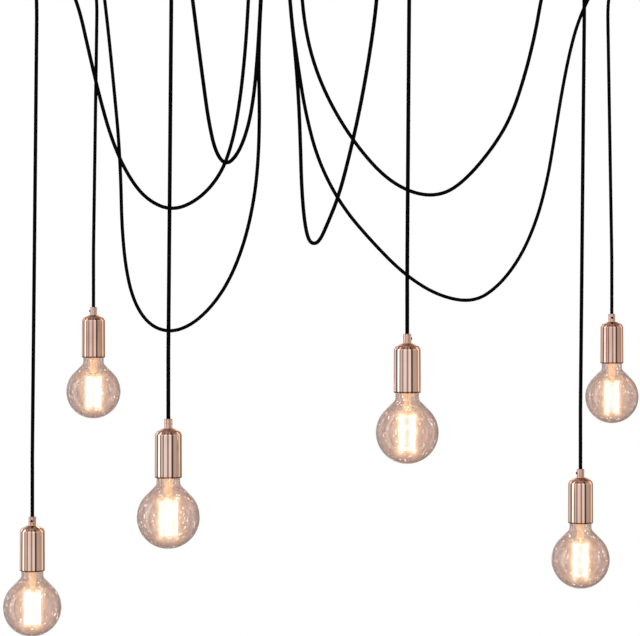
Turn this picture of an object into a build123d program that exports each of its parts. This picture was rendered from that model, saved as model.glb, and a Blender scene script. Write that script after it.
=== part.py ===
from build123d import *
from math import acos, cos, degrees, hypot, pi, radians, sin, tan
import os

# Six lights on textile cords hang from one ceiling canopy. Each cord leaves the canopy, swags to a
# hook of its own and drops straight to a lampholder with a copper cover and a clear globe bulb.
# Millimetres, +Z up. The origin is the middle of the canopy in the plane of the ceiling.

# Clearances: of what runs in or along another piece, and of what is fixed in its hole or seat
running_clearance = 0.3
fit_clearance = 0.1

# Bulb
globe_diameter = 95.0
glass_wall = 0.9
globe_below_rim = 12.0
bulb_reach = globe_diameter + globe_below_rim
neck_radius = 18.0
neck_flare_angle = 45.0
neck_flare_round = 8.0
glass_shoulder_height = 2.5
glass_shoulder_round = 1.5
glass_collar_length = 3.0
cap_radius = 13.0
cap_wall = 0.4
cap_length = 20.0
cap_crown = 2.0
cap_insulator_height = 4.0
cap_insulator_radius = 9.5
cap_contact_radius = 4.6
cap_contact_height = 2.0

# Stem and light sticks inside the globe
stick_count = 4
stick_radius = 1.2
stick_circle_radius = 12.5
sticks_below_rim = 35.0
sticks_above_foot = 19.0
stick_length = bulb_reach - sticks_below_rim - sticks_above_foot
stem_skirt_radius = 10.8
stem_radius = 5.5
stem_tip_radius = 2.6
stem_length = 33.0
stem_skirt_length = 12.0
wire_radius = 0.5
crown_hub_height = 1.5

# Cover of the lampholder
cover_height = 75.0
cover_wall = 1.0
rim_radius = 20.6
cover_taper = 0.3
rim_round = 1.7
rim_lip = 1.8
shoulder_height = 9.4
shoulder_flat_radius = 8.5
shoulder_slope_height = 4.7
shoulder_slope_inset = 2.5
shoulder_round = 4.0
shoulder_crown_round = 4.5
shoulder_edge_round = 3.0

# Cord and cord grip
cord_diameter = 5.8
grip_radius = 6.2
grip_height = 14.0
grip_edge = 0.6
nipple_radius = 4.9
nipple_length = 11.0
set_screw_radius = 2.0
set_screw_proud = 1.2

# Lampholder
holder_radius = 17.4
holder_boss_inset = 1.5
holder_boss_height = 4.0
holder_cone_height = 10.0
holder_above_rim = 7.0
glass_below_holder = 1.5
socket_wall = 0.5
socket_length = 24.0
contact_thickness = 1.2
contact_radius = 3.5

# Canopy, its bracket and what is inside
canopy_radius = 60.0
canopy_height = 25.0
canopy_wall = 1.0
canopy_edge_round = 4.0
outlet_circle_share = 0.7
nut_across = 14.0
nut_thickness = 3.0
cord_tail = 1.0
bracket_width = 20.0
bracket_thickness = 1.5
bracket_to_canopy = 1.2
tab_drop = 14.0
slot_spacing = 70.0
slot_length = 12.0
slot_width = 5.0
canopy_screw_radius = 2.0
canopy_screw_length = 7.0
canopy_screw_head_radius = 3.6
canopy_screw_head_height = 2.2
canopy_screw_depth = 8.0
block_length = 36.0
block_width = 15.0
block_height = 12.0
block_ways = 3
block_groove = 1.2
block_screw_radius = 2.0
block_screw_depth = 3.0

# Ceiling hooks
hook_wire_radius = 2.5
hook_bend_radius = 11.0
hook_neck_radius = 6.0
hook_thread_radius = 2.2
hook_thread_length = 20.0
hook_point_length = 5.0
hook_point_radius = 0.8
hook_tip_angle = 280.0
hook_depth = 50.0
cord_on_hook_clearance = 0.7
collar_radius = 9.0
collar_height = 2.5
collar_edge = 1.0

# Where the cords part at the hooks, so that the lights can swing
swag_end = 1.0
swing_gap = 0.6
bend_run_share = 0.45

# The spread of the swags, and how deep the lights hang
spread = 1000.0
hang = 1000.0

# A cord's way over its hook, from the middle of the wire and in shares of hook_reach
over_hook_shares = [(-0.115, 1.213), (1, 0.574)]
steep_over_hook_shares = [(-1.803, -1), (-0.705, 1.197), (1, 0.787)]

# Each light: place of its drop in plan as shares of the spread, height of its cover's rim as a share
# of the hang, angle of its outlet round the canopy, the way its set screw faces, how far its light
# sticks are turned, and the route of its swag up to the hook, chosen by hand in shares of the spread
# as reach from the outlet towards the hook and height.
lights = [
    dict(
        drop_shares=(-0.3971, -0.029), rim_share=-1.0742, outlet=180, screw=268, turn=28,
        swag_shares=[
            (0, -0.08), (0.003, -0.152), (0.008, -0.226), (0.016, -0.3), (0.028, -0.369),
            (0.048, -0.424), (0.084, -0.465), (0.128, -0.484), (0.171, -0.465), (0.203, -0.422),
            (0.228, -0.364), (0.247, -0.296), (0.264, -0.224), (0.28, -0.152), (0.2965, -0.112),
            (0.316, -0.073), (0.335, -0.051),
        ],
        over_shares=over_hook_shares,
    ),
    dict(
        drop_shares=(-0.3245, 0.225), rim_share=-0.7297, outlet=120, screw=190, turn=28,
        swag_shares=[
            (0, -0.08), (0.006, -0.155), (0.009, -0.232), (0.007, -0.312), (0.009, -0.39),
            (0.017, -0.458), (0.036, -0.53), (0.066, -0.594), (0.104, -0.641), (0.148, -0.673),
            (0.193, -0.685), (0.236, -0.672), (0.268, -0.634), (0.286, -0.577), (0.295, -0.5),
            (0.297, -0.422), (0.302, -0.345), (0.311, -0.268), (0.3205, -0.19), (0.3285, -0.13),
            (0.3375, -0.085),
        ],
        over_shares=steep_over_hook_shares,
    ),
    dict(
        drop_shares=(-0.1547, -0.3), rim_share=-0.901, outlet=240, screw=120, turn=15,
        swag_shares=[
            (0, -0.085), (0.006, -0.16), (0.015, -0.232), (0.026, -0.296), (0.046, -0.352),
            (0.078, -0.396), (0.118, -0.419), (0.152, -0.401), (0.174, -0.354), (0.1925, -0.288),
            (0.21, -0.222), (0.226, -0.16), (0.242, -0.11), (0.258, -0.076), (0.275, -0.052),
        ],
        over_shares=over_hook_shares,
    ),
    dict(
        drop_shares=(0.2055, -0.3), rim_share=-0.773, outlet=300, screw=0, turn=38,
        swag_shares=[
            (0, -0.085), (0.009, -0.16), (0.023, -0.235), (0.032, -0.305), (0.037, -0.375),
            (0.04, -0.442), (0.047, -0.497), (0.0575, -0.531), (0.0715, -0.5415), (0.09, -0.538),
            (0.109, -0.516), (0.144, -0.468), (0.1735, -0.404), (0.201, -0.334), (0.223, -0.264),
            (0.24, -0.197), (0.247, -0.152), (0.259, -0.112), (0.2795, -0.073), (0.3005, -0.051),
        ],
        over_shares=over_hook_shares,
    ),
    dict(
        drop_shares=(0.5006, -0.029), rim_share=-0.996, outlet=0, screw=180, turn=38,
        swag_shares=[
            (0, -0.085), (0.004, -0.16), (0.019, -0.234), (0.048, -0.305), (0.09, -0.373),
            (0.14, -0.43), (0.19, -0.457), (0.235, -0.458), (0.273, -0.432), (0.316, -0.381),
            (0.346, -0.331), (0.369, -0.262), (0.386, -0.192), (0.3945, -0.142), (0.4015, -0.112),
            (0.419, -0.073), (0.4386, -0.051),
        ],
        over_shares=over_hook_shares,
    ),
    dict(
        drop_shares=(0.597, 0.294), rim_share=-0.7415, outlet=60, screw=268, turn=30,
        swag_shares=[
            (0, -0.085), (0.006, -0.163), (0.018, -0.24), (0.032, -0.319), (0.055, -0.397),
            (0.097, -0.47), (0.156, -0.532), (0.218, -0.587), (0.284, -0.623), (0.352, -0.633),
            (0.403, -0.602), (0.446, -0.55), (0.478, -0.484), (0.499, -0.412), (0.513, -0.338),
            (0.527, -0.262), (0.543, -0.19), (0.561, -0.132), (0.588, -0.079), (0.6095, -0.053),
        ],
        over_shares=over_hook_shares,
    ),
]

# Sizes that follow from the ones above, as heights over the cover's rim where they are heights
cord_radius = cord_diameter / 2
bore_radius = cord_radius + running_clearance
nipple_hole_radius = nipple_radius + running_clearance
screw_hole_radius = set_screw_radius + fit_clearance
globe_radius = globe_diameter / 2
globe_centre = globe_radius - bulb_reach
glass_shoulder_top = holder_above_rim - glass_below_holder
glass_collar_radius = cap_radius - cap_wall - running_clearance
cap_foot = glass_shoulder_top + running_clearance
cap_top = cap_foot + cap_length
contact_top = cap_top + cap_insulator_height + cap_contact_height
pocket_top = contact_top + contact_thickness
socket_radius = cap_radius + running_clearance
pocket_radius = socket_radius + socket_wall + fit_clearance
holder_boss_radius = shoulder_flat_radius - holder_boss_inset
holder_top = cover_height - cover_wall
cord_seat = cover_height - nipple_length
outlet_circle_radius = outlet_circle_share * canopy_radius
hook_reach = hook_wire_radius + cord_radius + cord_on_hook_clearance


def keep(piece, name):
    """Labels a finished piece and writes it under its name."""
    piece.label = name
    export_step(piece, f"parts/{name}.step")


def turned(x, y, z):
    """Upright drawing plane and axis for a piece that is round about the vertical through a place."""
    return Plane(origin=(x, y, z), x_dir=(1, 0, 0), z_dir=(0, -1, 0)), Axis((x, y, z), (0, 0, 1))


def drop_place(light):
    """Place in plan of a light's drop."""
    return tuple(share * spread for share in light["drop_shares"])


def outlet_place(light):
    """Place in plan of the canopy outlet that a light's cord leaves by."""
    angle = radians(light["outlet"])
    return outlet_circle_radius * cos(angle), outlet_circle_radius * sin(angle)


def towards_hook(light):
    """Direction in plan from a light's outlet to its drop, and the distance."""
    x, y = outlet_place(light)
    drop_x, drop_y = drop_place(light)
    along_x, along_y = drop_x - x, drop_y - y
    span = hypot(along_x, along_y)
    return along_x / span, along_y / span, span


def bend_radii(points):
    """Radius for each corner of a route, as large as its shorter run allows."""
    radii = []
    for before, corner, after in zip(points, points[1:], points[2:]):
        run_in = Vector(*corner) - Vector(*before)
        run_out = Vector(*after) - Vector(*corner)
        half_turn = radians(run_in.get_angle(run_out)) / 2
        radii.append(bend_run_share * min(run_in.length, run_out.length) / tan(half_turn))
    return radii


def half_grip(sign):
    """Half outline of a cord grip on its seat at height 0: the body stands the way of the sign."""
    far = sign * grip_height
    return [
        (bore_radius, far), (grip_radius - grip_edge, far), (grip_radius, far - sign * grip_edge),
        (grip_radius, 0), (nipple_radius, 0), (nipple_radius, -sign * nipple_length),
        (bore_radius, -sign * nipple_length),
    ]


def glass_outline(inset):
    """Half outline of globe and neck from the foot of the globe up, a wall's inset from the outside."""
    radius, neck = globe_radius - inset, neck_radius - inset
    collar = glass_collar_radius - inset
    flare = radians(neck_flare_angle)
    edge = radius * sin(flare), globe_centre + radius * cos(flare)
    middle = radius * cos(flare / 2), globe_centre - radius * sin(flare / 2)
    top = glass_shoulder_top + glass_collar_length
    ThreePointArc((0, globe_centre - radius), middle, edge)
    FilletPolyline(
        edge,
        (neck, edge[1] + (edge[0] - neck) * tan(flare)),
        (neck, glass_shoulder_top - glass_shoulder_height - inset),
        (collar, glass_shoulder_top - inset),
        (collar, top),
        radius=(neck_flare_round + inset, glass_shoulder_round, glass_shoulder_round),
    )
    Polyline((collar, top), (0, top), (0, globe_centre - radius))


def cover_outline(inset):
    """Half outline of the cover, a wall's inset from the outside."""
    top = cover_height - inset
    side = rim_radius - cover_taper - inset
    FilletPolyline(
        (0, inset),
        (rim_radius - inset, inset),
        (side, cover_height - shoulder_height),
        (side - shoulder_slope_inset, cover_height - shoulder_height + shoulder_slope_height - inset / 2),
        (shoulder_flat_radius, top),
        (0, top),
        radius=(0, rim_round - inset, shoulder_round - inset, shoulder_crown_round - inset,
                shoulder_edge_round, 0),
        close=True,
    )


os.makedirs("parts", exist_ok=True)

# Canopy cover: a shallow cup, open towards the ceiling
with BuildPart() as canopy_cover:
    upright, middle = turned(0, 0, 0)
    for inset, mode in ((0, Mode.ADD), (canopy_wall, Mode.SUBTRACT)):
        with BuildSketch(upright):
            with BuildLine():
                foot = inset - canopy_height
                side = canopy_radius - inset
                FilletPolyline((0, 0), (side, 0), (side, foot), (0, foot),
                               radius=(0, 0, canopy_edge_round - inset, 0), close=True)
            make_face()
        revolve(axis=middle, mode=mode)
    with BuildSketch(Plane.XY.offset(-canopy_height)):
        with PolarLocations(outlet_circle_radius, len(lights)):
            Circle(nipple_hole_radius)
    extrude(amount=canopy_wall, mode=Mode.SUBTRACT)
    with BuildSketch(Plane.YZ.offset(-canopy_radius)):
        with Locations((0, -canopy_screw_depth)):
            Circle(canopy_screw_radius + fit_clearance)
    extrude(amount=2 * canopy_radius, mode=Mode.SUBTRACT)
keep(canopy_cover.part, "canopy_cover")

# Ceiling bracket: a strip with two slots and a tab turned down at each end
tab_face = canopy_radius - canopy_wall - bracket_to_canopy
with BuildPart() as ceiling_bracket:
    with BuildSketch(Plane.XY.offset(-bracket_thickness)):
        Rectangle(2 * tab_face, bracket_width)
        with GridLocations(slot_spacing, 0, 2, 1):
            SlotOverall(slot_length, slot_width, mode=Mode.SUBTRACT)
    extrude(amount=bracket_thickness)
    with BuildSketch(Plane.XY.offset(-tab_drop)):
        with GridLocations(2 * tab_face - bracket_thickness, 0, 2, 1):
            Rectangle(bracket_thickness, bracket_width)
    extrude(amount=tab_drop)
    with BuildSketch(Plane.YZ.offset(-canopy_radius)):
        with Locations((0, -canopy_screw_depth)):
            Circle(canopy_screw_radius + fit_clearance)
    extrude(amount=2 * canopy_radius, mode=Mode.SUBTRACT)
keep(ceiling_bracket.part, "ceiling_bracket")

# Canopy side screws
with BuildPart() as canopy_screws:
    for side in (1, -1):
        seat = Plane(origin=(side * canopy_radius, 0, -canopy_screw_depth), z_dir=(side, 0, 0))
        with BuildSketch(seat):
            Circle(canopy_screw_head_radius)
        extrude(amount=canopy_screw_head_height)
        with BuildSketch(seat):
            Circle(canopy_screw_radius)
        extrude(amount=-canopy_screw_length)
keep(canopy_screws.part, "canopy_screws")

# Cord grips under the canopy, one at each outlet, each with its side screw
with BuildPart() as canopy_grips:
    for light in lights:
        x, y = outlet_place(light)
        upright, middle = turned(x, y, -canopy_height)
        with BuildSketch(upright):
            with BuildLine():
                Polyline(half_grip(-1), close=True)
            make_face()
        revolve(axis=middle)
        outside = Plane(
            origin=(x, y, -canopy_height - grip_height / 2), z_dir=(x, y, 0)
        ).offset(grip_radius + set_screw_proud)
        with BuildSketch(outside):
            Circle(screw_hole_radius)
        extrude(amount=cord_radius - grip_radius - set_screw_proud, mode=Mode.SUBTRACT)
        with BuildSketch(outside):
            Circle(set_screw_radius)
        extrude(amount=bore_radius - grip_radius - set_screw_proud)
keep(canopy_grips.part, "canopy_grips")

# Nuts on the grips, inside the canopy
with BuildPart() as canopy_grip_nuts:
    with BuildSketch(Plane.XY.offset(canopy_wall - canopy_height)):
        with PolarLocations(outlet_circle_radius, len(lights)):
            RegularPolygon(nut_across / 2, 6, major_radius=False)
            Circle(nipple_radius + fit_clearance, mode=Mode.SUBTRACT)
    extrude(amount=nut_thickness)
keep(canopy_grip_nuts.part, "canopy_grip_nuts")

# Terminal block under the bracket, with a groove between its ways and a screw well at each end
with BuildPart() as terminal_block:
    under_bracket = Plane.XY.offset(-bracket_thickness)
    face = under_bracket.offset(-block_height)
    pitch = block_length / block_ways
    with BuildSketch(under_bracket):
        Rectangle(block_length, block_width)
    extrude(amount=-block_height)
    with BuildSketch(face):
        with GridLocations(pitch, 0, block_ways - 1, 1):
            Rectangle(block_groove, block_width)
        with GridLocations(pitch, block_width / 2, block_ways, 2):
            Circle(block_screw_radius)
    extrude(amount=block_screw_depth, mode=Mode.SUBTRACT)
keep(terminal_block.part, "terminal_block")


def hook_place(light):
    """Place in plan of a hook's shank: the cord goes over the wire and drops beside it."""
    x, y = drop_place(light)
    ux, uy, span = towards_hook(light)
    return x - hook_reach * ux, y - hook_reach * uy


# Ceiling hooks: a pointed screw shank, a neck that steps aside and a round bend under the shank
bend_centre = hook_bend_radius - hook_depth
neck_turn = degrees(acos(hook_neck_radius / (hook_bend_radius + hook_neck_radius)))
neck_start = bend_centre + (hook_bend_radius + hook_neck_radius) * sin(radians(neck_turn))
with BuildPart() as ceiling_hooks:
    for light in lights:
        x, y = hook_place(light)
        ux, uy, span = towards_hook(light)
        across = Plane(origin=(x, y, 0), x_dir=(uy, -ux, 0), z_dir=(-ux, -uy, 0))
        with BuildLine(across) as wire:
            shank = Line((0, 0), (0, neck_start))
            neck = JernArc(shank @ 1, shank % 1, hook_neck_radius, neck_turn)
            bend = JernArc(neck @ 1, neck % 1, hook_bend_radius, 90 - neck_turn - hook_tip_angle)
        with BuildSketch(Plane(origin=shank @ 0, z_dir=shank % 0)):
            Circle(hook_wire_radius)
        sweep(path=wire.line)
        with Locations(bend @ 1):
            Sphere(hook_wire_radius)
        with Locations(shank @ 0):
            Cylinder(hook_thread_radius, hook_thread_length,
                     align=(Align.CENTER, Align.CENTER, Align.MIN))
        with Locations((x, y, hook_thread_length)):
            Cone(hook_thread_radius, hook_point_radius, hook_point_length,
                 align=(Align.CENTER, Align.CENTER, Align.MIN))
keep(ceiling_hooks.part, "ceiling_hooks")

# Collars that cover the hooks' holes in the ceiling
with BuildPart() as hook_collars:
    for light in lights:
        x, y = hook_place(light)
        upright, middle = turned(x, y, 0)
        inside = hook_wire_radius + running_clearance
        with BuildSketch(upright):
            with BuildLine():
                Polyline((inside, 0), (collar_radius, 0), (collar_radius, collar_edge - collar_height),
                         (collar_radius - collar_edge, -collar_height), (inside, -collar_height),
                         close=True)
            make_face()
        revolve(axis=middle)
keep(hook_collars.part, "hook_collars")

# The lights, one after the other
for number, light in enumerate(lights, 1):
    x, y = drop_place(light)
    rim = light["rim_share"] * hang
    upright, middle = turned(x, y, rim)
    ux, uy, span = towards_hook(light)
    cord_end = rim + cord_seat
    cord_start = nipple_length + cord_tail - canopy_height

    # Swag of the cord: from inside the canopy to the far side of the hook
    points = [(0, cord_start)]
    points += [(reach * spread, height * spread) for reach, height in light["swag_shares"]]
    points += [
        (span + (reach - 1) * hook_reach, height * hook_reach - hook_depth)
        for reach, height in light["over_shares"]
    ]
    radii = bend_radii([*points, (span, cord_end)])
    start_x, start_y = outlet_place(light)
    along = Plane(origin=(start_x, start_y, 0), x_dir=(ux, uy, 0), z_dir=(uy, -ux, 0))
    with BuildPart() as swag_cord:
        with BuildLine(along) as route:
            FilletPolyline([*points, (span, -hook_depth - swag_end)], radius=radii)
        with BuildSketch(Plane(origin=route.wire() @ 0, z_dir=route.wire() % 0)):
            Circle(cord_radius)
        sweep(path=route.wire())
    keep(swag_cord.part, f"swag_cord_{number}")

    # Straight drop of the cord, down into the lampholder
    drop_start = -hook_depth - swag_end - swing_gap
    with BuildPart() as drop_cord:
        with BuildSketch(Plane(origin=(x, y, cord_end))):
            Circle(cord_radius)
        extrude(amount=drop_start - cord_end)
    keep(drop_cord.part, f"drop_cord_{number}")

    swag_length = route.wire().length
    swag_volume = swag_cord.part.volume / (pi * cord_radius**2)
    print(
        f"cord {number}: swag {swag_length:.0f}, drop {drop_start - cord_end:.0f}, "
        f"swag volume over section {swag_volume:.0f}, "
        f"radii {' '.join(f'{radius:.0f}' for radius in radii)}"
    )

    # Cord grip on top of the cover, with its set screw
    with BuildPart() as cord_grip:
        seat = rim + cover_height
        grip_upright, grip_middle = turned(x, y, seat)
        with BuildSketch(grip_upright):
            with BuildLine():
                Polyline(half_grip(1), close=True)
            make_face()
        revolve(axis=grip_middle)
        facing = radians(light["screw"])
        outside = Plane(
            origin=(x, y, seat + grip_height / 2), z_dir=(cos(facing), sin(facing), 0)
        ).offset(grip_radius + set_screw_proud)
        with BuildSketch(outside):
            Circle(screw_hole_radius)
        extrude(amount=cord_radius - grip_radius - set_screw_proud, mode=Mode.SUBTRACT)
        with BuildSketch(outside):
            Circle(set_screw_radius)
        extrude(amount=bore_radius - grip_radius - set_screw_proud)
    keep(cord_grip.part, f"cord_grip_{number}")

    # Cover: a deep thin cup with a rounded shoulder and a rim that turns inwards
    with BuildPart() as cover:
        for inset, mode in ((0, Mode.ADD), (cover_wall, Mode.SUBTRACT)):
            with BuildSketch(upright):
                with BuildLine():
                    cover_outline(inset)
                make_face()
            revolve(axis=middle, mode=mode)
        with BuildSketch(Plane(origin=(x, y, rim + holder_top))):
            Circle(nipple_hole_radius)
        extrude(amount=cover_wall, mode=Mode.SUBTRACT)
        with BuildSketch(Plane(origin=(x, y, rim))):
            Circle(rim_radius - rim_lip)
        extrude(amount=cover_wall, mode=Mode.SUBTRACT)
    keep(cover.part, f"cover_{number}")

    # Lampholder: insulator, screw shell and centre contact
    with BuildPart() as lampholder:
        with BuildSketch(upright):
            with BuildLine():
                cone_foot = holder_top - holder_boss_height - holder_cone_height
                Polyline(
                    (pocket_radius, holder_above_rim), (holder_radius, holder_above_rim),
                    (holder_radius, cone_foot), (holder_boss_radius, holder_top - holder_boss_height),
                    (holder_boss_radius, holder_top), (nipple_hole_radius, holder_top),
                    (nipple_hole_radius, cord_seat), (0, cord_seat), (0, pocket_top),
                    (pocket_radius, pocket_top), close=True,
                )
            make_face()
        revolve(axis=middle)
        shell_top = Plane(origin=(x, y, rim + pocket_top - fit_clearance))
        with BuildSketch(shell_top):
            Circle(socket_radius + socket_wall)
            Circle(socket_radius, mode=Mode.SUBTRACT)
        extrude(amount=-socket_length)
        with BuildSketch(shell_top):
            Circle(contact_radius)
        extrude(amount=fit_clearance - contact_thickness)
    keep(lampholder.part, f"lampholder_{number}")

    # Bulb cap: metal shell, insulator and contact
    with BuildPart() as bulb_cap:
        with BuildSketch(upright):
            with BuildLine():
                bent = cap_top - cap_crown
                Polyline(
                    (cap_radius - cap_wall, cap_foot), (cap_radius, cap_foot),
                    (cap_radius, bent), (cap_radius - cap_crown, cap_top), (0, cap_top),
                    (0, cap_top - cap_wall), (cap_radius - cap_crown, cap_top - cap_wall),
                    (cap_radius - cap_wall, bent), close=True,
                )
            make_face()
        revolve(axis=middle)
        with BuildSketch(upright):
            with BuildLine():
                insulator_top = cap_top + cap_insulator_height
                Polyline(
                    (0, cap_top), (cap_insulator_radius, cap_top), (cap_contact_radius, insulator_top),
                    (cap_contact_radius, contact_top - fit_clearance),
                    (0, contact_top - fit_clearance), close=True,
                )
            make_face()
        revolve(axis=middle)
    keep(bulb_cap.part, f"bulb_cap_{number}")

    # Bulb glass: globe, flared neck and the collar that the cap holds
    with BuildPart() as bulb_glass:
        for inset, mode in ((0, Mode.ADD), (glass_wall, Mode.SUBTRACT)):
            with BuildSketch(upright):
                with BuildLine():
                    glass_outline(inset)
                make_face()
            revolve(axis=middle, mode=mode)
    keep(bulb_glass.part, f"bulb_glass_{number}")

    # Filament: glass stem, crown of wires and the light sticks that they carry
    with BuildPart() as bulb_filament:
        stem_top = glass_shoulder_top
        with BuildSketch(upright):
            with BuildLine():
                stem_foot = stem_top - stem_length
                Polyline(
                    (0, stem_top), (stem_skirt_radius, stem_top),
                    (stem_radius, stem_top - stem_skirt_length), (stem_radius, stem_foot + stem_radius),
                    (stem_tip_radius, stem_foot), (0, stem_foot), close=True,
                )
            make_face()
        revolve(axis=middle)
        with BuildSketch(Plane(origin=(x, y, rim + stem_foot - running_clearance))):
            Circle(stem_tip_radius)
        extrude(amount=-crown_hub_height)
        crown = Vector(x, y, rim + stem_foot - running_clearance - crown_hub_height / 2)
        stick_top = rim - sticks_below_rim
        feet = []
        for step in range(stick_count):
            angle = radians(light["turn"] + step * 360 / stick_count)
            stick_x, stick_y = x + stick_circle_radius * cos(angle), y + stick_circle_radius * sin(angle)
            with BuildSketch(Plane(origin=(stick_x, stick_y, stick_top))):
                Circle(stick_radius)
            extrude(amount=-stick_length)
            with BuildLine() as spoke:
                Line(crown, (stick_x, stick_y, stick_top - stick_radius))
            with BuildSketch(Plane(origin=spoke.line @ 0, z_dir=spoke.line % 0)):
                Circle(wire_radius)
            sweep(path=spoke.line)
            feet.append((stick_x, stick_y, stick_top - stick_length + stick_radius))
        for near, far in zip(feet[::2], feet[1::2]):
            with BuildLine() as tie:
                Line(near, far)
            with BuildSketch(Plane(origin=tie.line @ 0, z_dir=tie.line % 0)):
                Circle(wire_radius)
            sweep(path=tie.line)
    keep(bulb_filament.part, f"bulb_filament_{number}")
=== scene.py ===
import bmesh
import bpy
from math import cos, hypot, pi, radians, sin
from mathutils import Matrix, Vector


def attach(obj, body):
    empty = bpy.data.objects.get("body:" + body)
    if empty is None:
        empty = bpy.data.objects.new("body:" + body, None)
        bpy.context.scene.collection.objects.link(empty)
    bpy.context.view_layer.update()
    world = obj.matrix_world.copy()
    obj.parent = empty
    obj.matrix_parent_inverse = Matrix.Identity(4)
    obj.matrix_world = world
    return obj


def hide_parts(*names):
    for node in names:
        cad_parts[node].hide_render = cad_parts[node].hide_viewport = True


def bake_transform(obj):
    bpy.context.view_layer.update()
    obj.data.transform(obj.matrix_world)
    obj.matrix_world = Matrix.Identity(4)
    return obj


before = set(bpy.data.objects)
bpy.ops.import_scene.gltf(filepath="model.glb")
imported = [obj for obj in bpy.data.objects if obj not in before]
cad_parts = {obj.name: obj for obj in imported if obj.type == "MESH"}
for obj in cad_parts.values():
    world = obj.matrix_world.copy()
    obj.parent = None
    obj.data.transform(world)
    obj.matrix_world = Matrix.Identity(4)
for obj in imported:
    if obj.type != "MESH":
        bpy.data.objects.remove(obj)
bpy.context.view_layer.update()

# Camera: level, as far from the light and as high as the photograph's perspective says
camera_data = bpy.data.cameras.new("camera")
camera_data.sensor_width = 36.0
camera_data.lens = 117.5
camera_data.clip_end = 60.0
camera = bpy.data.objects.new("camera", camera_data)
camera.location = (0.074, -3.45, -0.66)
camera.rotation_euler = (radians(90), 0, 0)
bpy.context.scene.collection.objects.link(camera)
bpy.context.scene.camera = camera
bpy.context.scene.view_settings.view_transform = "Standard"

# Cords: the braid stands a little proud of the tube. Heights are from the ceiling, in metres.
CORD_DIAMETER = 0.0058
BRAID_PROUD = 0.00015
CORD_SIDES = 16
SPLINE_STEPS = 14
OUTLET_CIRCLE = 0.042
CORD_START = -0.013
BELOW_HOOK = -0.066
CORD_SEAT_ABOVE_RIM = 0.064

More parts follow.
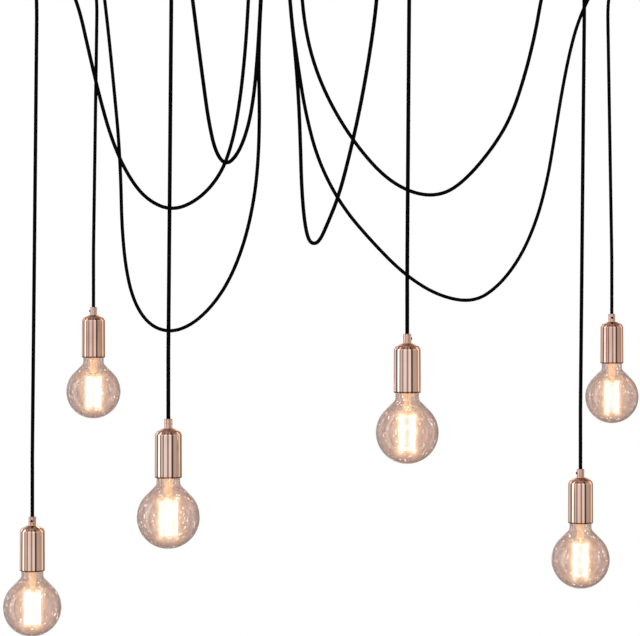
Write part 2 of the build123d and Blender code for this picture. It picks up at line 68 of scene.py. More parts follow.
# The lights, from left to right. drop is the plumb line under the hook, rim the height of the cup's
# rim, outlet the bearing of the cord's outlet in the canopy, turn that of the light sticks, and copper
# the light and dark tone of the cup, which also holds painted light and shade: the one copper of the
# cups is set brighter or darker cup by cup. swag gives the cord's reach from its outlet towards its
# hook, and its height. fall gives the drop's shift from the plumb line, and its height: it leans a
# little, as in the photograph, and is plumb where its grip slides.
LIGHTS = [
    dict(
        drop=(-0.3971, -0.029), rim=-1.0742, outlet=180, turn=28,
        copper=((0.90, 0.67, 0.58), (0.84, 0.59, 0.49)),
        swag=[
            (0, -0.08), (0.003, -0.152), (0.008, -0.226), (0.016, -0.3), (0.028, -0.369),
            (0.048, -0.424), (0.084, -0.465), (0.128, -0.484), (0.171, -0.465), (0.203, -0.422),
            (0.228, -0.364), (0.247, -0.296), (0.264, -0.224), (0.28, -0.152), (0.2965, -0.112),
            (0.316, -0.073), (0.335, -0.051), (0.3495, -0.0426), (0.3563, -0.0465),
        ],
        fall=[(-0.0076, -0.125), (-0.0065, -0.239), (-0.0009, -0.793), (0, -0.884), (0, -0.904)],
    ),
    dict(
        drop=(-0.3245, 0.225), rim=-0.7297, outlet=120, turn=28,
        copper=((0.82, 0.57, 0.47), (0.74, 0.48, 0.39)),
        swag=[
            (0, -0.08), (0.006, -0.155), (0.009, -0.232), (0.007, -0.312), (0.009, -0.39),
            (0.017, -0.458), (0.036, -0.53), (0.066, -0.594), (0.104, -0.641), (0.148, -0.673),
            (0.193, -0.685), (0.236, -0.672), (0.268, -0.634), (0.286, -0.577), (0.295, -0.5),
            (0.297, -0.422), (0.302, -0.345), (0.311, -0.268), (0.3205, -0.19), (0.3285, -0.13),
            (0.3352, -0.085), (0.3370, -0.0570), (0.3452, -0.0432), (0.3573, -0.0455),
        ],
        fall=[(-0.008, -0.1), (-0.0068, -0.166), (-0.001, -0.487), (0, -0.54), (0, -0.56)],
    ),
    dict(
        drop=(-0.1547, -0.3), rim=-0.901, outlet=240, turn=15,
        copper=((0.86, 0.64, 0.56), (0.79, 0.56, 0.48)),
        swag=[
            (0, -0.085), (0.006, -0.16), (0.015, -0.232), (0.026, -0.296), (0.046, -0.352),
            (0.078, -0.396), (0.118, -0.419), (0.152, -0.401), (0.174, -0.354), (0.1925, -0.288),
            (0.21, -0.222), (0.226, -0.16), (0.242, -0.11), (0.258, -0.076), (0.275, -0.052),
            (0.2888, -0.0426), (0.2956, -0.0465),
        ],
        fall=[(-0.0092, -0.15), (-0.0078, -0.234), (-0.0011, -0.644), (0, -0.711), (0, -0.731)],
    ),
    dict(
        drop=(0.2055, -0.3), rim=-0.773, outlet=300, turn=38,
        copper=((0.87, 0.63, 0.54), (0.80, 0.55, 0.46)),
        swag=[
            (0, -0.085), (0.009, -0.16), (0.023, -0.235), (0.032, -0.305), (0.037, -0.375),
            (0.04, -0.442), (0.047, -0.497), (0.0575, -0.531), (0.0715, -0.5415), (0.09, -0.538),
            (0.109, -0.516), (0.144, -0.468), (0.1735, -0.404), (0.201, -0.334), (0.223, -0.264),
            (0.24, -0.197), (0.247, -0.152), (0.259, -0.112), (0.2795, -0.073), (0.3005, -0.051),
            (0.315, -0.0426), (0.3218, -0.0465),
        ],
        fall=[(0.0053, -0.15), (0.0045, -0.215), (0.0006, -0.531), (0, -0.583), (0, -0.603)],
    ),
    dict(
        drop=(0.5006, -0.029), rim=-0.996, outlet=0, turn=38,
        copper=((0.86, 0.61, 0.51), (0.79, 0.53, 0.43)),
        swag=[
            (0, -0.085), (0.004, -0.16), (0.019, -0.234), (0.048, -0.305), (0.09, -0.373),
            (0.14, -0.43), (0.19, -0.457), (0.235, -0.458), (0.273, -0.432), (0.316, -0.381),
            (0.346, -0.331), (0.369, -0.262), (0.386, -0.192), (0.3945, -0.142), (0.4015, -0.112),
            (0.419, -0.073), (0.4386, -0.051), (0.4527, -0.0426), (0.4595, -0.0465),
        ],
        fall=[(0.0066, -0.125), (0.0056, -0.227), (0.0008, -0.724), (0, -0.806), (0, -0.826)],
    ),
    dict(
        drop=(0.597, 0.294), rim=-0.7415, outlet=60, turn=30,
        copper=((0.80, 0.55, 0.46), (0.73, 0.47, 0.38)),
        swag=[
            (0, -0.085), (0.006, -0.163), (0.018, -0.24), (0.032, -0.319), (0.055, -0.397),
            (0.097, -0.47), (0.156, -0.532), (0.218, -0.587), (0.284, -0.623), (0.352, -0.633),
            (0.403, -0.602), (0.446, -0.55), (0.478, -0.484), (0.499, -0.412), (0.513, -0.338),
            (0.527, -0.262), (0.543, -0.19), (0.561, -0.132), (0.588, -0.079), (0.6095, -0.053),
            (0.6242, -0.0426), (0.631, -0.0465),
        ],
        fall=[(-0.0088, -0.095), (-0.0075, -0.163), (-0.0011, -0.497), (0, -0.5515), (0, -0.5715)],
    ),
]


def link(obj):
    bpy.context.scene.collection.objects.link(obj)
    return obj


def outlet_place(light):
    """Where the light's cord leaves the canopy, seen from above."""
    bearing = radians(light["outlet"])
    return OUTLET_CIRCLE * cos(bearing), OUTLET_CIRCLE * sin(bearing)


def finished(name, mesh):
    """Mesh data from a bmesh, with its faces turned outwards."""
    bmesh.ops.recalc_face_normals(mesh, faces=mesh.faces)
    data = bpy.data.meshes.new(name)
    mesh.to_mesh(data)
    mesh.free()
    return data


def tube_mesh(name, path, radius, sides):
    """A tube along the path, with flat ends and a map: round the tube, and along it in metres."""
    mesh = bmesh.new()
    uv = mesh.loops.layers.uv.new("UVMap")
    runs = [0.0]
    for before, here in zip(path, path[1:]):
        runs.append(runs[-1] + (here - before).length)
    first = (path[1] - path[0]).normalized()
    side = Vector((0, 1, 0)) if abs(first.y) < 0.9 else Vector((1, 0, 0))
    turns = [2 * pi * n / sides for n in range(sides)]
    rings = []
    for index, point in enumerate(path):
        ahead = path[min(index + 1, len(path) - 1)] - path[max(index - 1, 0)]
        ahead.normalize()
        side = (side - ahead * side.dot(ahead)).normalized()
        other = ahead.cross(side)
        rings.append([mesh.verts.new(point + radius * (side * cos(turn) + other * sin(turn)))
                      for turn in turns])
    for index, (low, high) in enumerate(zip(rings, rings[1:])):
        for n in range(sides):
            after = (n + 1) % sides
            face = mesh.faces.new((low[n], low[after], high[after], high[n]))
            face.smooth = True
            corners = ((n, index), (n + 1, index), (n + 1, index + 1), (n, index + 1))
            for loop, (around, along) in zip(face.loops, corners):
                loop[uv].uv = (around / sides, runs[along])
    mesh.faces.new(list(reversed(rings[0])))
    mesh.faces.new(rings[-1])
    return finished(name, mesh)


def spline_line(name, points):
    """The line of the cord's spline, as Blender draws it."""
    curve = bpy.data.curves.new(name, "CURVE")
    curve.dimensions = "3D"
    curve.resolution_u = SPLINE_STEPS
    spline = curve.splines.new("NURBS")
    spline.points.add(len(points) - 1)
    for control, point in zip(spline.points, points):
        control.co = (*point, 1.0)
    spline.order_u = 3
    spline.use_endpoint_u = True
    holder = link(bpy.data.objects.new(name, curve))
    bpy.context.view_layer.update()
    drawn = holder.evaluated_get(bpy.context.evaluated_depsgraph_get())
    line = bpy.data.meshes.new_from_object(drawn)
    path = [vertex.co.copy() for vertex in line.vertices]
    bpy.data.objects.remove(holder)
    bpy.data.meshes.remove(line)
    bpy.data.curves.remove(curve)
    return path


cords = []
for number, light in enumerate(LIGHTS, 1):
    x, y = light["drop"]
    start_x, start_y = outlet_place(light)
    span = hypot(x - start_x, y - start_y)
    ux, uy = (x - start_x) / span, (y - start_y) / span
    route = [
        (0, CORD_START), *light["swag"], (span, BELOW_HOOK),
        *[(span + shift, height) for shift, height in light["fall"]],
        (span, light["rim"] + CORD_SEAT_ABOVE_RIM),
    ]
    points = [Vector((start_x + ux * reach, start_y + uy * reach, height)) for reach, height in route]
    path = spline_line(f"cord_line_{number}", points)
    name = f"textile_cord_{number}"
    tube = link(bpy.data.objects.new(
        name, tube_mesh(name, path, CORD_DIAMETER / 2 + BRAID_PROUD, CORD_SIDES)))
    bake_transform(tube)
    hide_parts(f"swag_cord_{number}", f"drop_cord_{number}")
    cords.append(tube)


# Materials


class Nodes:
    """The nodes of a material or world, with short ways to add and join them."""

    def __init__(self, owner):
        owner.use_nodes = True
        self.tree = owner.node_tree

    def feed(self, node, inputs):
        """Joins sockets to the node's inputs, and sets its other inputs to constants."""
        for key, value in dict(inputs).items():
            if isinstance(value, bpy.types.NodeSocket):
                self.tree.links.new(value, node.inputs[key])
            else:
                node.inputs[key].default_value = value

    def add(self, kind, inputs=(), **settings):
        node = self.tree.nodes.new(kind)
        for key, value in settings.items():
            setattr(node, key, value)
        self.feed(node, inputs)
        return node

    def maths(self, operation, *values):
        return self.add("ShaderNodeMath", enumerate(values), operation=operation).outputs[0]

    def vector(self, operation, *values):
        output = "Value" if operation == "LENGTH" else "Vector"
        return self.add("ShaderNodeVectorMath", enumerate(values), operation=operation).outputs[output]

    def parts(self, vector):
        """A vector's X, Y and Z."""
        return self.add("ShaderNodeSeparateXYZ", {"Vector": vector}).outputs

    def length(self, x, y, z=0.0):
        """The length of the vector with these parts."""
        whole = self.add("ShaderNodeCombineXYZ", {"X": x, "Y": y, "Z": z})
        return self.vector("LENGTH", whole.outputs["Vector"])

    def ranged(self, value, start, end, low=0.0, high=1.0):
        """The value, taken from one range to another and held at its ends."""
        return self.add("ShaderNodeMapRange", {
            "Value": value, "From Min": start, "From Max": end, "To Min": low, "To Max": high,
        }).outputs["Result"]

    def ramp(self, factor, stops):
        """A colour ramp on a factor, from (place, colour) pairs."""
        node = self.add("ShaderNodeValToRGB", {"Fac": factor})
        elements = node.color_ramp.elements
        elements.remove(elements[-1])
        elements[0].position = stops[0][0]
        elements[0].color = (*stops[0][1], 1)
        for place, colour in stops[1:]:
            elements.new(place).color = (*colour, 1)
        return node.outputs["Color"]

    def mixed(self, share, one, other):
        """Two shaders, mixed by the share of the second."""
        return self.add("ShaderNodeMixShader", {"Fac": share, 1: one, 2: other}).outputs["Shader"]


class Look(Nodes):
    """A node material in the making, about its main shader."""

    def __init__(self, name):
        self.made = bpy.data.materials.new(name)
        super().__init__(self.made)
        self.shader = self.tree.nodes["Principled BSDF"]

    def paint(self, inputs):
        self.feed(self.shader, inputs)

    def repaint(self, share, colour):
        """Mixes another colour into the base colour."""
        tone = self.shader.inputs["Base Color"].links[0].from_socket
        mix = self.add("ShaderNodeMixRGB", {"Fac": share, "Color1": tone, "Color2": (*colour, 1)})
        self.paint({"Base Color": mix.outputs["Color"]})

    def output(self, socket, shader):
        self.feed(self.tree.nodes["Material Output"], {socket: shader})

    def place(self):
        """The piece's own coordinates."""
        return self.add("ShaderNodeTexCoord").outputs["Object"]

    def stretched(self, scale):
        return self.add("ShaderNodeMapping", {"Vector": self.place(), "Scale": scale}).outputs["Vector"]

    def noise(self, scale, detail, output="Fac", distortion=0.0):
        """Noise with this many features in a metre along each axis."""
        return self.add("ShaderNodeTexNoise", {
            "Vector": self.stretched(scale), "Scale": 1.0, "Detail": detail, "Distortion": distortion,
        }).outputs[output]

    def bump(self, height, strength, distance):
        return self.add("ShaderNodeBump", {
            "Strength": strength, "Distance": distance, "Height": height,
        }).outputs["Normal"]

    def light(self, colour, strength):
        return self.add("ShaderNodeEmission", {"Color": (*colour, 1), "Strength": strength}).outputs[0]

    def added(self, one, other):
        return self.add("ShaderNodeAddShader", {0: one, 1: other}).outputs[0]


def copper(name, light_tone, dark_tone, smooth, rough):
    """Polished copper: long faint draw lines, cloudy polish and fine marks."""
    look = Look(name)
    lines = look.noise((900, 900, 12), 3.0)
    clouds = look.noise((35, 35, 22), 4.0)
    look.paint({
        "Base Color": look.ramp(clouds, [(0.3, dark_tone), (0.7, light_tone)]),
        "Roughness": look.ranged(look.maths("MULTIPLY", lines, clouds), 0.1, 0.45, smooth, rough),
        "Normal": look.bump(lines, 0.05, 0.0002),
        "Metallic": 1.0,
    })
    return look


# Painted shade: a darker, redder band on the cup's rolled rim that stands in for the rim's dark
# reflection. Its heights are from the rim.
PAINTED_RIM_SHADE_TONE = (0.36, 0.13, 0.05)
PAINTED_RIM_SHADE_FROM = 0.0018
PAINTED_RIM_SHADE_TO = 0.0030


def cover_copper(name, light_tone, dark_tone, rim):
    """Polished copper with painted shade: a darker, redder band round the rolled rim that stands in for
    the rim's dark reflection.
    """
    look = copper(name, light_tone, dark_tone, smooth=0.03, rough=0.08)
    height = look.parts(look.place())["Z"]
    # painted shade: the band on the rolled rim
    painted_rim_shade = look.ranged(height, rim + PAINTED_RIM_SHADE_FROM, rim + PAINTED_RIM_SHADE_TO, 1.0, 0.0)
    look.repaint(painted_rim_shade, PAINTED_RIM_SHADE_TONE)
    return look.made


GRIP_SIDE = 0.00625
SET_SCREW_TONE = (0.02, 0.018, 0.018)


def grip_copper(name, centres):
    """Satin copper for cord grips, with blackened set screws: each stands past its grip's side."""
    look = copper(name, (0.82, 0.56, 0.47), (0.72, 0.46, 0.37), smooth=0.16, rough=0.26)
    place = look.place()
    nearest = None
    for centre_x, centre_y in centres:
        away = look.vector("SUBTRACT", place, (centre_x, centre_y, 0))
        reach = look.vector("LENGTH", look.vector("MULTIPLY", away, (1, 1, 0)))
        nearest = reach if nearest is None else look.maths("MINIMUM", nearest, reach)
    look.repaint(look.maths("GREATER_THAN", nearest, GRIP_SIDE), SET_SCREW_TONE)
    return look.made


def plain(name, light_tone, dark_tone, grain_scale, metallic, gloss, bump):
    """Moulded plastic, plated steel or painted metal, with fine grain and cloudy gloss."""
    look = Look(name)
    grain = look.noise((grain_scale, grain_scale, grain_scale), 5.0)
    look.paint({
        "Base Color": look.ramp(grain, [(0.35, dark_tone), (0.65, light_tone)]),
        "Roughness": look.ranged(grain, 0.3, 0.7, *gloss),
        "Normal": look.bump(grain, bump, 0.0002),
        "Metallic": metallic,
    })
    return look.made


BRAID_AROUND = 12
BRAID_PER_METRE = 650


def textile():
    """Black braided cord: threads that cross round it, each a small ridge."""
    look = Look("textile_cord")
    across = look.parts(look.add("ShaderNodeUVMap", uv_map="UVMap").outputs["UV"])
    around = look.maths("MULTIPLY", across["X"], 2 * pi * BRAID_AROUND)
    along = look.maths("MULTIPLY", across["Y"], 2 * pi * BRAID_PER_METRE)
    waves = [look.maths("SINE", look.maths(way, around, along)) for way in ("ADD", "SUBTRACT")]
    ridge = look.ranged(look.maths("MAXIMUM", *waves), -1.0, 1.0)
    look.paint({
        "Base Color": look.ramp(ridge, [(0.1, (0.0015, 0.0015, 0.0015)), (0.9, (0.0035, 0.003, 0.0035))]),
        "Normal": look.bump(ridge, 0.25, 0.0003),
        "Roughness": 0.9,
        "Specular IOR Level": 0.0,
    })
    return look.made


def tinted_glass():
    """Thin tinted glass, a little wavy, darker where it is seen edge on, with painted glints on its
    outside: emission spots that stand in for reflections.
    """
    look = Look("tinted_glass")
    clouds = look.noise((28, 28, 28), 3.0)
    waves = look.noise((130, 130, 70), 2.0)
    wavy = look.bump(waves, 0.35, 0.0008)
    look.paint({
        "Base Color": look.ramp(clouds, [(0.3, (0.30, 0.13, 0.075)), (0.7, (0.40, 0.17, 0.09))]),
        "Normal": wavy,
        "Roughness": 0.06,
        "Alpha": look.ranged(waves, 0.35, 0.65, 0.235, 0.325),
    })
    facing = look.add("ShaderNodeLayerWeight", {"Blend": 0.5}).outputs["Facing"]
    edge = look.maths("MULTIPLY", look.maths("POWER", facing, 3.5), 0.55)
    dark = look.add("ShaderNodeBsdfTransparent", {"Color": (0.34, 0.30, 0.29, 1)}).outputs["BSDF"]
    darker = look.mixed(edge, look.shader.outputs["BSDF"], dark)

    outside = look.maths("SUBTRACT", 1.0, look.add("ShaderNodeNewGeometry").outputs["Backfacing"])
    shine = look.maths("MULTIPLY", look.maths("POWER", facing, 5.0), 0.6)
    shine = look.maths("MULTIPLY", look.maths("ADD", shine, 0.05), outside)
    gloss = look.add("ShaderNodeBsdfGlossy", {
        "Color": (1, 0.93, 0.88, 1), "Roughness": 0.05, "Normal": wavy,
    }).outputs["BSDF"]
    shiny = look.mixed(shine, darker, gloss)

    # Painted glints: small emission spots in patches on the glass's outside, standing in for reflections
    ripple = look.noise((210, 210, 210), 1.0, output="Color")
    cells = look.add("ShaderNodeTexVoronoi", {
        "Vector": look.vector("ADD", look.stretched((190, 190, 105)), ripple), "Scale": 1.0,
    }).outputs["Distance"]
    spots = look.ranged(cells, 0.16, 0.34, 1.0, 0.0)
    patches = look.ranged(look.noise((75, 75, 60), 1.0), 0.485, 0.62)
    painted_glints = look.maths("MULTIPLY", look.maths("MULTIPLY", spots, patches), outside)
    painted_glints = look.maths("MULTIPLY", painted_glints, 0.72)
    look.output("Surface", look.added(shiny, look.light((1.0, 0.88, 0.80), painted_glints)))
    return look.made


def phosphor():
    """The glowing coat of the light sticks, a little uneven."""
    look = Look("stick_light")
    bright, dim = (1.0, 0.86, 0.62), 0.93
    grain = look.noise((900, 900, 900), 2.0)
    tone = look.ramp(grain, [(0.3, [dim * part for part in bright]), (0.7, bright)])
    look.paint({"Base Color": tone, "Emission Color": tone, "Emission Strength": 7.0, "Roughness": 0.6})
    return look.made


def stem_glass_painted_glow():
    """The stem: clear glass that carries the light's colour as a painted glow, an emission that stands in
    for the sticks' light shining in it.
    """
    look = Look("stem_glass_painted_glow")
    clouds = look.noise((420, 420, 260), 3.0, distortion=0.8)
    tone = look.ramp(clouds, [
        (0.36, (0.80, 0.42, 0.20)), (0.50, (1.0, 0.66, 0.36)), (0.62, (1.0, 0.92, 0.74)),
    ])
    look.paint({
        "Base Color": tone, "Emission Color": tone, "Emission Strength": 0.8, "Roughness": 0.1,
        "Alpha": 0.5, "Normal": look.bump(clouds, 0.5, 0.001),
    })
    return look.made


# Light sticks: four about the bulb's middle, each a rod that glows between two end caps
STICK_RADIUS = 0.0012
STICK_LENGTH = 0.053
STICK_CIRCLE = 0.0125
STICKS_BELOW_RIM = 0.035
ROD_INSET = 0.002
stick_top, stick_foot = STICK_LENGTH / 2, -STICK_LENGTH / 2
rod_top, rod_foot = stick_top - ROD_INSET, stick_foot + ROD_INSET


def painted_air_glow():
    """Painted glow in the bulb's air, which stands in for the sticks' halo: white about and between the
    sticks, peach round them, gold at the stem.
    """
    look = Look("painted_air_glow")
    look.paint({"Alpha": 0.0})
    place = look.place()
    sizes = look.parts(look.vector("ABSOLUTE", place))

    def fading(distance, fade, strength):
        fallen = look.maths("EXPONENT", look.maths("MULTIPLY", distance, -1 / fade))
        return look.maths("MULTIPLY", fallen, strength)

    most = look.maths("MAXIMUM", sizes["X"], sizes["Y"])
    least = look.maths("MINIMUM", sizes["X"], sizes["Y"])
    past_end = look.maths("MAXIMUM", look.maths("SUBTRACT", sizes["Z"], stick_top), 0.0)
    from_stick = look.length(look.maths("SUBTRACT", most, STICK_CIRCLE), least, past_end)
    radius = look.length(most, least)
    past_circle = look.maths("SUBTRACT", radius, STICK_CIRCLE)
    from_middle = look.length(look.maths("MAXIMUM", past_circle, 0.0), past_end)
    from_circle = look.length(look.maths("ABSOLUTE", past_circle), past_end)
    above = look.maths("GREATER_THAN", look.parts(place)["Z"], rod_top)

    between = look.light((0.45, 0.80, 1.0), fading(from_middle, 0.0009, 24.0))
    white = look.light((1.0, 0.87, 0.72), fading(from_stick, 0.0022, 230.0))
    peach = look.light((1.0, 0.46, 0.07), fading(from_circle, 0.0072, 30.0))
    golden = look.light((1.0, 0.66, 0.30), look.maths("MULTIPLY", fading(radius, 0.0048, 38.0), above))
    look.output("Volume", look.added(look.added(white, peach), look.added(between, golden)))
    look.made.cycles.volume_step_rate = 0.12
    return look.made


def covered(data, made):
    """Mesh data with this as its only material."""
    data.materials.clear()
    data.materials.append(made)
    return data


def dress(node, made):
    """Puts one material on a CAD node."""
    covered(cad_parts[node].data, made)


hook_metal = plain("hook_metal", (0.045, 0.042, 0.042), (0.025, 0.023, 0.023),
                   grain_scale=700, metallic=0.6, gloss=(0.35, 0.5), bump=0.2)
zinc_steel = plain("zinc_steel", (0.70, 0.71, 0.74), (0.55, 0.56, 0.60),
                   grain_scale=260, metallic=1.0, gloss=(0.28, 0.42), bump=0.1)
dark_screw = plain("dark_screw", (0.035, 0.033, 0.033), (0.02, 0.018, 0.018),
                   grain_scale=900, metallic=0.7, gloss=(0.3, 0.45), bump=0.2)
block_plastic = plain("block_plastic", (0.86, 0.85, 0.82), (0.80, 0.79, 0.76),
                      grain_scale=500, metallic=0.0, gloss=(0.4, 0.55), bump=0.15)
holder_plastic = plain("holder_plastic", (0.022, 0.021, 0.021), (0.012, 0.012, 0.012),
                       grain_scale=600, metallic=0.0, gloss=(0.35, 0.5), bump=0.2)
cap_brass = plain("cap_brass", (0.80, 0.62, 0.34), (0.70, 0.52, 0.27),
                  grain_scale=300, metallic=1.0, gloss=(0.2, 0.34), bump=0.1)
canopy_copper = copper("canopy_copper", (0.84, 0.58, 0.48), (0.76, 0.50, 0.40), smooth=0.08, rough=0.16)
glass = tinted_glass()

dress("canopy_cover", canopy_copper.made)
dress("ceiling_bracket", zinc_steel)
dress("canopy_screws", dark_screw)
dress("canopy_grips", grip_copper("canopy_grip_copper", [outlet_place(light) for light in LIGHTS]))
dress("canopy_grip_nuts", zinc_steel)
dress("terminal_block", block_plastic)
dress("ceiling_hooks", hook_metal)
dress("hook_collars", hook_metal)

cord_black = textile()
for tube in cords:
    covered(tube.data, cord_black)


def lathe(name, outline, sides=32):
    """A round form about the local Z axis, from (radius, height) pairs."""
    mesh = bmesh.new()
    turns = [2 * pi * n / sides for n in range(sides)]
    rings = []
    for radius, height in outline:
        if radius < 1e-6:
            rings.append([mesh.verts.new((0, 0, height))])
        else:
            rings.append([mesh.verts.new((radius * cos(turn), radius * sin(turn), height))
                          for turn in turns])
    for low, high in zip(rings, rings[1:]):
        for n in range(sides):
            after = (n + 1) % sides
            corners = [low[n % len(low)], low[after % len(low)],
                       high[after % len(high)], high[n % len(high)]]
            unique = [corner for i, corner in enumerate(corners) if corner not in corners[:i]]
            mesh.faces.new(unique).smooth = True
    return finished(name, mesh)


def joined(name, tubes):
    """One mesh of several tubes, each a path, its radius and its sides."""
    mesh = bmesh.new()
    for path, radius, sides in tubes:
        part = tube_mesh(name, [Vector(point) for point in path], radius, sides)
        mesh.from_mesh(part)
        bpy.data.meshes.remove(part)
    data = bpy.data.meshes.new(name)
    mesh.to_mesh(data)
    mesh.free()
    return data


# Inside of a bulb: heights are from the middle of the sticks, and rim is the cup's rim there
rim = STICKS_BELOW_RIM + STICK_LENGTH / 2

# The stem, in radius and height: its flare about the rim, and its blown end above its foot
STEM_FOOT_BELOW_RIM = 0.0275
STEM_FLARE = [(0.0108, 0.0055), (0.0104, 0.001), (0.0082, -0.0035), (0.0066, -0.008)]
STEM_END = [(0.0058, 0.011), (0.0062, 0.007), (0.0056, 0.0035), (0.0034, 0.001), (0.0018, 0), (0, 0)]
stem_foot = rim - STEM_FOOT_BELOW_RIM
stem_outline = [
    *[(radius, rim + height) for radius, height in STEM_FLARE],
    *[(radius, stem_foot + height) for radius, height in STEM_END],
]

# The sticks and their wires. A support wire's places are a share of the sticks' circle and a height,
# first over the stem's foot, then over its stick's top. A bridge joins two sticks at the foot.
STICK_SIDES = 14
CAP_RADIUS = 0.0007
CAP_SIDES = 8
CAP_PROUD = 0.0002
CAP_DEPTH = 0.0025
WIRE_RADIUS = 0.00032
WIRE_SIDES = 6
SUPPORT_AT_STEM = [(0.1, 0.004), (0.25, 0.0005), (0.6, -0.0022)]
SUPPORT_AT_STICK = [(0.92, 0.0016), (1, -0.0006)]
BRIDGE_END_LIFT = 0.0006
BRIDGE_MIDDLE_LIFT = 0.0002
BRIDGE_MIDDLE_SHARE = 0.42
support_wire = [
    *[(share, stem_foot + height) for share, height in SUPPORT_AT_STEM],
    *[(share, stick_top + height) for share, height in SUPPORT_AT_STICK],
]
stick_places = [(STICK_CIRCLE * cos(pi / 2 * n), STICK_CIRCLE * sin(pi / 2 * n)) for n in range(4)]
sticks, wires = [], []
for x, y in stick_places:
    sticks.append(([(x, y, rod_top), (x, y, 0), (x, y, rod_foot)], STICK_RADIUS, STICK_SIDES))
    for end, outwards in ((stick_top, 1), (stick_foot, -1)):
        cap = [(x, y, end + outwards * CAP_PROUD), (x, y, end - outwards * CAP_DEPTH)]
        wires.append((cap, CAP_RADIUS, CAP_SIDES))
    support = [(share * x, share * y, height) for share, height in support_wire]
    wires.append((support, WIRE_RADIUS, WIRE_SIDES))
for near, far in (stick_places[:2], stick_places[2:]):
    middle = [BRIDGE_MIDDLE_SHARE * (one + other) for one, other in zip(near, far)]
    bridge = [(*near, stick_foot + BRIDGE_END_LIFT), (*middle, stick_foot + BRIDGE_MIDDLE_LIFT),
              (*far, stick_foot + BRIDGE_END_LIFT)]
    wires.append((bridge, WIRE_RADIUS, WIRE_SIDES))

# The air that holds the painted glow: a globe just inside the glass, up to its neck
GLOBE_MIDDLE_BELOW_RIM = 0.0595
AIR_RADIUS = 0.0435
AIR_STEPS = 16
AIR_SIDES = 24
AIR_NECK_RADIUS = 0.0150
AIR_NECK_BELOW_RIM = 0.012
AIR_TOP_BELOW_RIM = 0.001
globe_middle = rim - GLOBE_MIDDLE_BELOW_RIM
air_turns = [pi * step / AIR_STEPS for step in range(AIR_STEPS - 1)]
air_outline = [
    *[(AIR_RADIUS * sin(turn), globe_middle - AIR_RADIUS * cos(turn)) for turn in air_turns],
    (AIR_NECK_RADIUS, rim - AIR_NECK_BELOW_RIM), (AIR_NECK_RADIUS, rim - AIR_TOP_BELOW_RIM),
    (0, rim - AIR_TOP_BELOW_RIM),
]

inner_pieces = (
    ("bulb_stem", covered(lathe("bulb_stem", stem_outline), stem_glass_painted_glow()), "tinted_glass"),
    ("light_sticks", covered(joined("light_sticks", sticks), phosphor()), "light_stick"),
    ("support_wires", covered(joined("support_wires", wires), cap_brass), "cap_brass"),
    ("painted_air_glow", covered(lathe("painted_air_glow", air_outline, AIR_SIDES), painted_air_glow()), "light_stick"),
)

for number, light in enumerate(LIGHTS, 1):
    x, y = light["drop"]
    # Each cup's copper: its tones are painted brighter or darker cup by cup as painted light and shade,
    # with painted shade on its rolled rim
    dress(f"cover_{number}", cover_copper(f"cover_copper_{number}", *light["copper"], light["rim"]))
    dress(f"cord_grip_{number}", grip_copper(f"grip_copper_{number}", [(x, y)]))
    dress(f"lampholder_{number}", holder_plastic)
    dress(f"bulb_cap_{number}", cap_brass)
    dress(f"bulb_glass_{number}", glass)
    turned = Matrix.Rotation(radians(light["turn"]), 4, "Z")
    place = Matrix.Translation((x, y, light["rim"] - rim)) @ turned
    for name, data, slot in inner_pieces:
        piece = link(bpy.data.objects.new(f"{name}_{number}", data))
        piece.matrix_world = place
        if name == "light_sticks":
            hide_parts(f"bulb_filament_{number}")
        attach(piece, f"bulb_{number}")

# Studio: a pale floor, a world that is white behind the object, and large soft lamps
WHITE = (1, 1, 1, 1)
FLOOR_HEIGHT = -2.4
FLOOR_REACH = 5
floor_data = bpy.data.meshes.new("floor")
floor_corners = [(-FLOOR_REACH, -FLOOR_REACH), (FLOOR_REACH, -FLOOR_REACH),
                 (FLOOR_REACH, FLOOR_REACH), (-FLOOR_REACH, FLOOR_REACH)]
floor_data.from_pydata([(x, y, FLOOR_HEIGHT) for x, y in floor_corners], [], [(0, 1, 2, 3)])
floor = link(bpy.data.objects.new("floor", floor_data))
floor_look = Look("floor")
seen_by_camera = floor_look.add("ShaderNodeLightPath").outputs["Is Camera Ray"]
floor_look.paint({
    "Base Color": (0.9, 0.9, 0.9, 1),
    "Roughness": 0.9,
    "Emission Color": WHITE,
    "Emission Strength": floor_look.maths("MULTIPLY", seen_by_camera, 0.3),
})
covered(floor_data, floor_look.made)
floor.visible_glossy = False

# What polished metal mirrors: panels round the studio, as bearing from the front in degrees, level and
# warmth, times storeys, from straight down to straight up
WARM_GREEN, WARM_BLUE = 0.22, 0.42
PANELS = [
    (-180, 0.95, 0.2), (-150, 0.50, 0.2), (-135, 0.62, 0.1), (-124, 1.0, 0.0), (-116, 0.95, 0.0),
    (-110, 0.12, 0.3), (-99, 0.10, 0.3), (-92, 1.0, 0.0), (-86, 2.2, 0.0), (-75, 2.2, 0.0),
    (-71, 0.15, 0.3), (-66, 0.15, 0.3), (-60, 0.75, 0.1), (-46, 0.75, 0.1), (-42, 0.16, 0.2),
    (-37, 0.18, 0.2), (-33, 1.0, 0.0), (-11, 1.0, 0.0), (-4, 0.35, 0.1), (6, 0.32, 0.1),
    (11, 1.05, 0.0), (27, 1.0, 0.0), (33, 0.08, 0.3), (43, 0.06, 0.4), (49, 0.45, 0.3),
    (57, 0.60, 0.35), (100, 0.46, 0.7), (108, 1.25, 0.6), (117, 1.25, 0.6), (124, 0.36, 1.0),
    (154, 0.30, 1.0), (180, 0.95, 0.3),
]
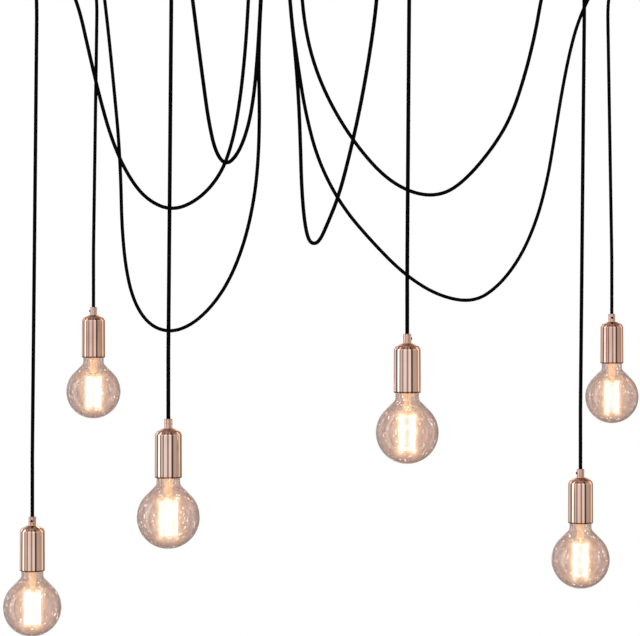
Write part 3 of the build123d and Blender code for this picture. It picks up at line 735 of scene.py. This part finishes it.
STOREYS = [
    (0.0, (0.12, 0.09, 0.08)), (0.13, (0.08, 0.06, 0.05)), (0.22, (0.62, 0.58, 0.55)),
    (0.42, (0.85, 0.82, 0.80)), (0.48, (1, 1, 1)), (0.53, (1, 1, 1)), (0.58, (1.5, 1.45, 1.4)),
    (0.68, (1.4, 1.3, 1.25)), (0.80, (1.0, 0.88, 0.82)), (0.86, (0.45, 0.36, 0.33)),
    (0.95, (0.42, 0.32, 0.28)), (1.0, (0.75, 0.66, 0.60)),
]
AMBIENT = 0.62

world = bpy.data.worlds.new("studio")
bpy.context.scene.world = world
studio = Nodes(world)
studio.tree.nodes.clear()
way = studio.parts(studio.add("ShaderNodeTexCoord").outputs["Generated"])
front = studio.maths("MULTIPLY", way["Y"], -1.0)
turn = studio.ranged(studio.maths("ARCTAN2", way["X"], front), -pi, pi)
panels = studio.ramp(turn, [
    ((degrees + 180) / 360, (level, level * (1 - WARM_GREEN * warmth), level * (1 - WARM_BLUE * warmth)))
    for degrees, level, warmth in PANELS
])
storeys = studio.ramp(studio.ranged(way["Z"], -1.0, 1.0), STOREYS)
mirrored = studio.add("ShaderNodeMixRGB", {"Fac": 1.0, "Color1": panels, "Color2": storeys},
                      blend_type="MULTIPLY").outputs["Color"]


def background(colour, strength):
    return studio.add("ShaderNodeBackground", {"Color": colour, "Strength": strength}).outputs[0]


# Glossy rays see the panels, camera and transmitted rays plain white, and the others the ambient light
rays = studio.add("ShaderNodeLightPath").outputs
seen = studio.maths("MAXIMUM", rays["Is Camera Ray"], rays["Is Transmission Ray"])
unseen = studio.mixed(rays["Is Glossy Ray"], background(WHITE, AMBIENT), background(mirrored, 1.0))
studio.add("ShaderNodeOutputWorld", {"Surface": studio.mixed(seen, unseen, background(WHITE, 1.0))})


def lamp(name, place, size, power):
    """A large soft lamp, aimed at the lights, that polished metal doesn't mirror."""
    data = bpy.data.lights.new(name, "AREA")
    data.shape = "SQUARE"
    data.size = size
    data.energy = power
    obj = link(bpy.data.objects.new(name, data))
    obj.location = place
    obj.rotation_euler = (Vector(LAMP_AIM) - Vector(place)).to_track_quat("-Z", "Y").to_euler()
    obj.visible_glossy = False


LAMP_AIM = (0, 0, -0.7)
lamp("key", place=(-2.6, -3.2, 0.6), size=2.2, power=60)
lamp("fill", place=(3.0, -2.2, -0.2), size=2.4, power=35)
